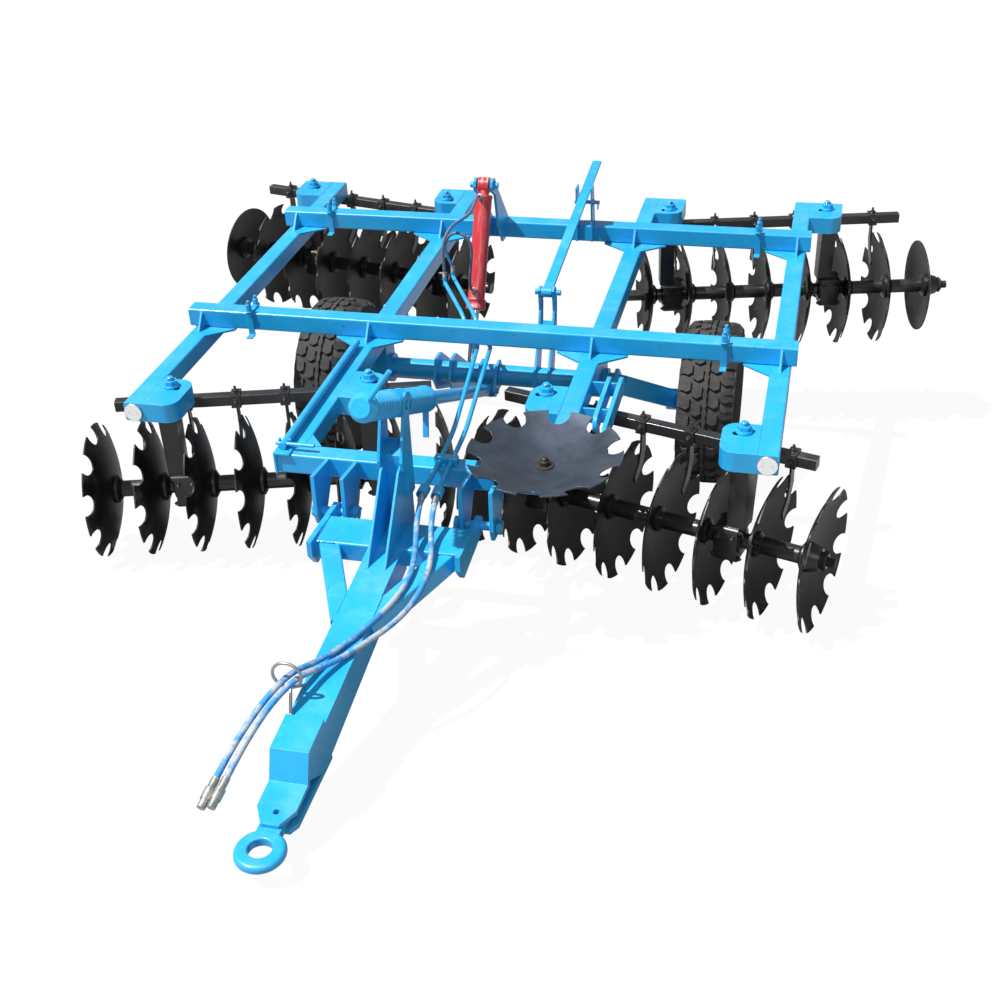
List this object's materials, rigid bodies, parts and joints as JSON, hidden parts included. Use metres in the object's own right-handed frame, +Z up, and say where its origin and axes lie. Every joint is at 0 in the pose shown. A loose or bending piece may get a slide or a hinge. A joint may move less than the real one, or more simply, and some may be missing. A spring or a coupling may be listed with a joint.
{
  "type": "trailed disc harrow",
  "caption": "Trailed tandem disc harrow: four gangs of notched dished discs under a tube frame with two lift wheels, a lift cylinder and a ring-hitch drawbar.",
  "frame": {"origin": "middle of the machine on the floor it stands on", "axes": "+X to the right-hand side seen from behind the drawbar looking to the rear, +Y to the rear, +Z up"},
  "size_m": [3.9674, 4.6902, 1.3738],
  "materials": {
    "blue_paint": "gloss paint",
    "black_paint": "satin paint, dusty",
    "disc_steel": "dark steel with dried soil",
    "spare_steel": "blue grey rolled steel",
    "tyre": "dusty rubber",
    "red_paint": "gloss paint",
    "chrome": "polished",
    "zinc": "plated",
    "white": "reflector",
    "hose": "sleeved hose"
  },
  "bodies": {
    "frame": {"front_cross_beam": "blue_paint", "rear_cross_beam": "blue_paint", "outer_beam_left": "blue_paint", "outer_beam_right": "blue_paint", "inner_beam_left": "blue_paint", "inner_beam_right": "blue_paint", "hitch_beam": "blue_paint", "reflectors": "white", "cylinder_mast": "blue_paint", "lock_bracket": "blue_paint", "shaft_bearings": "blue_paint", "spare_disc": "spare_steel", "drawbar_pins": "blue_paint", "gang_hangers_front_left": "black_paint", "scraper_bar_front_left": "black_paint", "gang_hangers_front_right": "black_paint", "scraper_bar_front_right": "black_paint", "gang_hangers_rear_left": "black_paint", "scraper_bar_rear_left": "black_paint", "gang_hangers_rear_right": "black_paint", "scraper_bar_rear_right": "black_paint", "stowed_jack_pipe": "blue_paint", "stowed_legs": "blue_paint", "beam_straps": "blue_paint", "oil_pipes": "blue_paint"},
    "gang_front_left": {"discs_front_left": "disc_steel", "gang_shaft_front_left": "black_paint"},
    "gang_front_right": {"discs_front_right": "disc_steel", "gang_shaft_front_right": "black_paint"},
    "gang_rear_left": {"discs_rear_left": "disc_steel", "gang_shaft_rear_left": "black_paint"},
    "gang_rear_right": {"discs_rear_right": "disc_steel", "gang_shaft_rear_right": "black_paint"},
    "lift_shaft": {"lift_shaft": "blue_paint"},
    "wheel_left": {"tyre_left": "tyre", "rim_left": "blue_paint"},
    "wheel_right": {"tyre_right": "tyre", "rim_right": "blue_paint"},
    "cylinder_barrel": {"cylinder_barrel": "red_paint", "loop_hose_upper": "hose", "loop_hose_lower": "hose"},
    "cylinder_rod": {"cylinder_rod": "chrome"},
    "lock_bar": {"lock_bar": "blue_paint"},
    "drawbar": {"drawbar_frame": "blue_paint", "levelling_post": "blue_paint", "hitch_plate": "blue_paint", "towing_ring": "blue_paint", "hose_holder": "zinc", "tractor_hose_left": "hose", "tractor_hose_right": "hose", "hose_couplers": "zinc"},
    "levelling_rod": {"levelling_rod": "blue_paint", "levelling_springs": "blue_paint"}
  },
  "joints": [
    {"name": "gang_spin_front_left", "type": "hinge", "parent": "frame", "child": "gang_front_left", "pos_m": [-1.468, -0.41419, 0.27968], "axis": [0.9632, 0.2647, 0.0475], "continuous": true},
    {"name": "gang_spin_front_right", "type": "hinge", "parent": "frame", "child": "gang_front_right", "pos_m": [1.468, -0.41419, 0.27968], "axis": [0.9632, -0.2647, -0.0475], "continuous": true},
    {"name": "gang_spin_rear_left", "type": "hinge", "parent": "frame", "child": "gang_rear_left", "pos_m": [-1.823, 2.11583, 0.72555], "axis": [0.974, -0.2231, -0.04], "continuous": true},
    {"name": "gang_spin_rear_right", "type": "hinge", "parent": "frame", "child": "gang_rear_right", "pos_m": [1.823, 2.11583, 0.72555], "axis": [0.974, 0.2231, 0.04], "continuous": true},
    {"name": "wheel_lift", "type": "hinge", "parent": "frame", "child": "lift_shaft", "pos_m": [0, 0.39252, 0.64186], "axis": [1, 0, 0], "range_deg": [0, 34.7]},
    {"name": "wheel_spin_left", "type": "hinge", "parent": "lift_shaft", "child": "wheel_left", "pos_m": [-0.909, 1.0131, 0.38239], "axis": [1, 0, 0], "continuous": true},
    {"name": "wheel_spin_right", "type": "hinge", "parent": "lift_shaft", "child": "wheel_right", "pos_m": [0.909, 1.0131, 0.38239], "axis": [1, 0, 0], "continuous": true},
    {"name": "barrel_pivot", "type": "hinge", "parent": "frame", "child": "cylinder_barrel", "pos_m": [-0.2, 1.09095, 1.33004], "axis": [1, 0, 0], "range_deg": [-6.45, 0.5]},
    {"name": "rod_slide", "type": "slide", "parent": "cylinder_barrel", "child": "cylinder_rod", "axis": [0, -0.3222, -0.9467], "range_m": [-0.2512, 0.001]},
    {"name": "lock_bar_pivot", "type": "hinge", "parent": "lift_shaft", "child": "lock_bar", "pos_m": [0.235, 0.44256, 1.00846], "axis": [1, 0, 0], "range_deg": [-36.48, 0.5]},
    {"name": "drawbar_pivot", "type": "hinge", "parent": "frame", "child": "drawbar", "pos_m": [0, -0.86056, 0.49117], "axis": [1, 0, 0], "range_deg": [-6.87, 0.5]},
    {"name": "levelling_rod_pivot", "type": "hinge", "parent": "lift_shaft", "child": "levelling_rod", "pos_m": [0, 0.32552, 0.59062], "axis": [1, 0, 0], "range_deg": [-36.85, 0.5]}
  ],
  "couplings": [
    {"joint": "barrel_pivot", "follows": "wheel_lift", "ratio": -0.17159},
    {"joint": "rod_slide", "follows": "wheel_lift", "m_per_rad": -0.4131},
    {"joint": "lock_bar_pivot", "follows": "wheel_lift", "ratio": -1.037},
    {"joint": "drawbar_pivot", "follows": "wheel_lift", "ratio": -0.18343},
    {"joint": "levelling_rod_pivot", "follows": "wheel_lift", "ratio": -1.0477}
  ]
}
